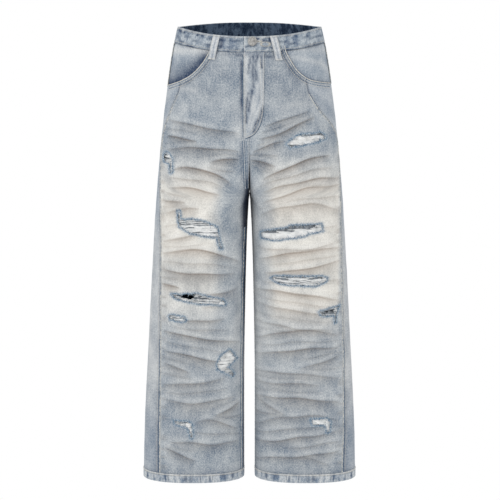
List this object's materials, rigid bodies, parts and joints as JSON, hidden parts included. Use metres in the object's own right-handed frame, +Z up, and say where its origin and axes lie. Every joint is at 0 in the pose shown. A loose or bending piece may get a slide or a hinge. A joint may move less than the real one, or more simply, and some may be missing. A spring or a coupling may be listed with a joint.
{
  "type": "ripped jeans",
  "caption": "Wide-legged light-wash jeans with worn-through rips on the fronts, filled out and hollow, with curved front pockets, belt loops, a fly and a button.",
  "frame": {"origin": "centre of the waist opening, level with the waistband's top edge at the two sides", "axes": "+Z up, along the legs towards the waist; +X towards the wearer's left; the front faces -Y"},
  "size_m": [0.4894, 0.2341, 1.0341],
  "materials": {
    "denim": "light-wash cotton twill, faded to cream at the thighs and bluer at hips and shins",
    "waistband_denim": "blotchy light-wash cotton twill, folded and topstitched",
    "weft_threads": "undyed cotton threads, frayed and crumpled",
    "button_metal": "satin grey metal"
  },
  "bodies": {
    "root": {"front_right": "denim", "front_left": "denim", "back_right": "denim", "back_left": "denim", "yoke_right": "denim", "yoke_left": "denim", "pocket_facing_right": "denim", "pocket_facing_left": "denim", "back_pocket_right": "denim", "back_pocket_left": "denim", "fly": "denim", "hem_right": "denim", "hem_left": "denim", "waistband": "waistband_denim", "belt_loop_front_right": "waistband_denim", "belt_loop_front_left": "waistband_denim", "belt_loop_back_right": "waistband_denim", "belt_loop_back_left": "waistband_denim", "belt_loop_back_centre": "waistband_denim", "weft_hip_right": "weft_threads", "weft_thigh_right": "weft_threads", "weft_knee_right": "weft_threads", "weft_below_knee_right": "weft_threads", "weft_shin_right": "weft_threads", "weft_ankle_right": "weft_threads", "weft_hip_left": "weft_threads", "weft_thigh_left": "weft_threads", "weft_knee_left": "weft_threads", "weft_outer_knee_left": "weft_threads", "weft_ankle_left": "weft_threads", "button": "button_metal"}
  },
  "joints": []
}
